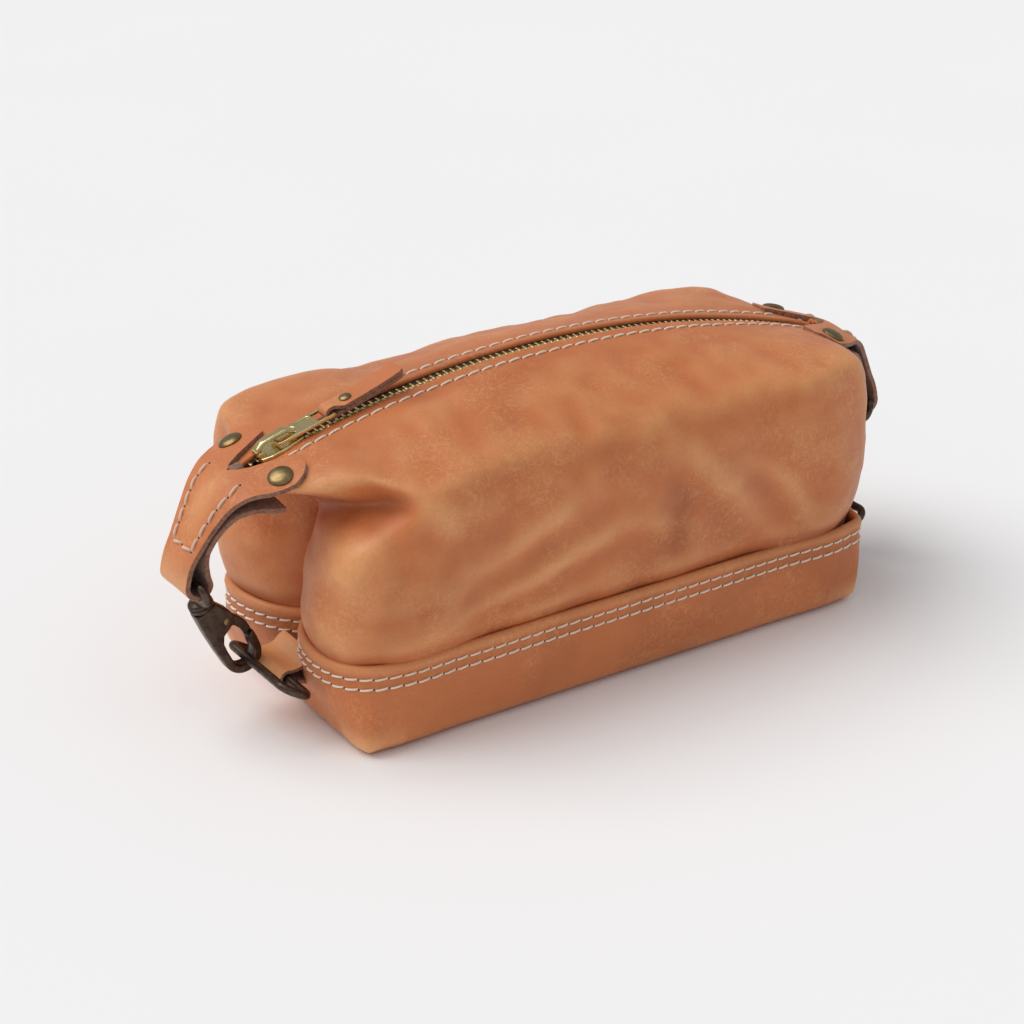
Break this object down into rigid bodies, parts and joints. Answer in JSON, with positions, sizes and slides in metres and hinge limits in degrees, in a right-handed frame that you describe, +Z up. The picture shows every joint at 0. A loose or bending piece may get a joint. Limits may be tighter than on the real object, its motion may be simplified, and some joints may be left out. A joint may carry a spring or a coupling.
{
  "type": "shaving kit bag",
  "caption": "Leather shaving kit bag with a curved zip top, a stitched base band, and at each end a strap held down by a swivel hook clipped to a ring.",
  "frame": {"origin": "middle of the bag's length and width, on the surface that it stands on", "axes": "+X along the zip towards its open stop, -Y out of the front, +Z up"},
  "size_m": [0.35, 0.121, 0.1337],
  "materials": {
    "tan_leather": "waxed full-grain leather with light folds and darker patches",
    "suede_edge": "raw cut leather edge and flesh side",
    "waxed_thread": "thick waxed thread",
    "zip_tape": "dark woven tape",
    "zip_brass": "bright brass teeth",
    "polished_brass": "polished pale brass",
    "antique_brass": "antique brass, satin",
    "dark_bronze": "dark bronze plating, brown on its edges",
    "spring_steel": "spring steel strip"
  },
  "bodies": {
    "bag": {"base_panel": "tan_leather", "front_panel": "tan_leather", "back_panel": "tan_leather", "zip_top_stops": "zip_brass", "zip_bottom_stop": "zip_brass", "zip_end_tape_left": "zip_tape", "zip_end_teeth_left": "zip_brass", "end_strap_left": "tan_leather", "strap_rivets_left": "antique_brass", "ring_keeper_left": "tan_leather", "zip_end_tape_right": "zip_tape", "zip_end_teeth_right": "zip_brass", "end_strap_right": "tan_leather", "strap_rivets_right": "antique_brass", "ring_keeper_right": "tan_leather"},
    "front_lip": {"mouth_edge_front": "tan_leather", "zip_tape_front": "zip_tape", "zip_teeth_front": "zip_brass"},
    "back_lip": {"mouth_edge_back": "tan_leather", "zip_tape_back": "zip_tape", "zip_teeth_back": "zip_brass"},
    "slider": {"zip_slider": "polished_brass", "slider_bridge": "polished_brass"},
    "pull_tab": {"pull_tab": "polished_brass"},
    "leather_pull": {"leather_pull": "tan_leather", "pull_rivet": "antique_brass"},
    "snap_eye_left": {"snap_eye_left": "dark_bronze"},
    "snap_hook_left": {"snap_body_left": "dark_bronze", "gate_pin_left": "antique_brass", "gate_spring_left": "spring_steel"},
    "snap_gate_left": {"snap_gate_left": "dark_bronze"},
    "ring_left": {"ring_left": "dark_bronze"},
    "snap_eye_right": {"snap_eye_right": "dark_bronze"},
    "snap_hook_right": {"snap_body_right": "dark_bronze", "gate_pin_right": "antique_brass", "gate_spring_right": "spring_steel"},
    "snap_gate_right": {"snap_gate_right": "dark_bronze"},
    "ring_right": {"ring_right": "dark_bronze"}
  },
  "joints": [
    {"name": "slider_travel", "type": "hinge", "parent": "bag", "child": "slider", "pos_m": [0, 0, -0.319], "axis": [0, 1, 0], "range_deg": [0, 33.05]},
    {"name": "front_mouth", "type": "hinge", "parent": "bag", "child": "front_lip", "pos_m": [0, 0, 0.11182], "axis": [1, 0, 0], "range_deg": [0, 75]},
    {"name": "back_mouth", "type": "hinge", "parent": "bag", "child": "back_lip", "pos_m": [0, 0, 0.11182], "axis": [-1, 0, 0], "range_deg": [0, 75]},
    {"name": "pull_tab_lift", "type": "hinge", "parent": "slider", "child": "pull_tab", "pos_m": [-0.12793, 0, 0.11535], "axis": [0, -1, 0], "range_deg": [0, 120]},
    {"name": "leather_pull_lift", "type": "hinge", "parent": "pull_tab", "child": "leather_pull", "pos_m": [-0.10397, 0, 0.12246], "axis": [0, -1, 0], "range_deg": [0, 45]},
    {"name": "snap_swing_left", "type": "hinge", "parent": "bag", "child": "snap_eye_left", "pos_m": [-0.169, 0, 0.068], "axis": [0, 1, 0], "range_deg": [-0.5, 2.5]},
    {"name": "snap_swivel_left", "type": "hinge", "parent": "snap_eye_left", "child": "snap_hook_left", "pos_m": [-0.16289, 0, 0.05257], "axis": [0.3681, 0, -0.9298], "range_deg": [-8, 8]},
    {"name": "gate_left", "type": "hinge", "parent": "snap_hook_left", "child": "snap_gate_left", "pos_m": [-0.15407, 0, 0.04552], "axis": [0, 1, 0], "range_deg": [0, 30], "stiffness_Nm_per_rad": 0.02, "springref_deg": -17.19},
    {"name": "ring_swing_left", "type": "hinge", "parent": "bag", "child": "ring_left", "pos_m": [-0.13692, -0.014, 0.022], "axis": [0, 1, 0], "range_deg": [-3, 3]},
    {"name": "snap_swing_right", "type": "hinge", "parent": "bag", "child": "snap_eye_right", "pos_m": [0.169, 0, 0.068], "axis": [0, -1, 0], "range_deg": [-0.5, 2.5]},
    {"name": "snap_swivel_right", "type": "hinge", "parent": "snap_eye_right", "child": "snap_hook_right", "pos_m": [0.16289, 0, 0.05257], "axis": [-0.3681, 0, -0.9298], "range_deg": [-8, 8]},
    {"name": "gate_right", "type": "hinge", "parent": "snap_hook_right", "child": "snap_gate_right", "pos_m": [0.15407, 0, 0.04552], "axis": [0, -1, 0], "range_deg": [0, 30], "stiffness_Nm_per_rad": 0.02, "springref_deg": -17.19},
    {"name": "ring_swing_right", "type": "hinge", "parent": "bag", "child": "ring_right", "pos_m": [0.13692, -0.014, 0.022], "axis": [0, 1, 0], "range_deg": [-3, 3]}
  ],
  "couplings": [
    {"joint": "back_mouth", "follows": "front_mouth", "ratio": 1}
  ]
}
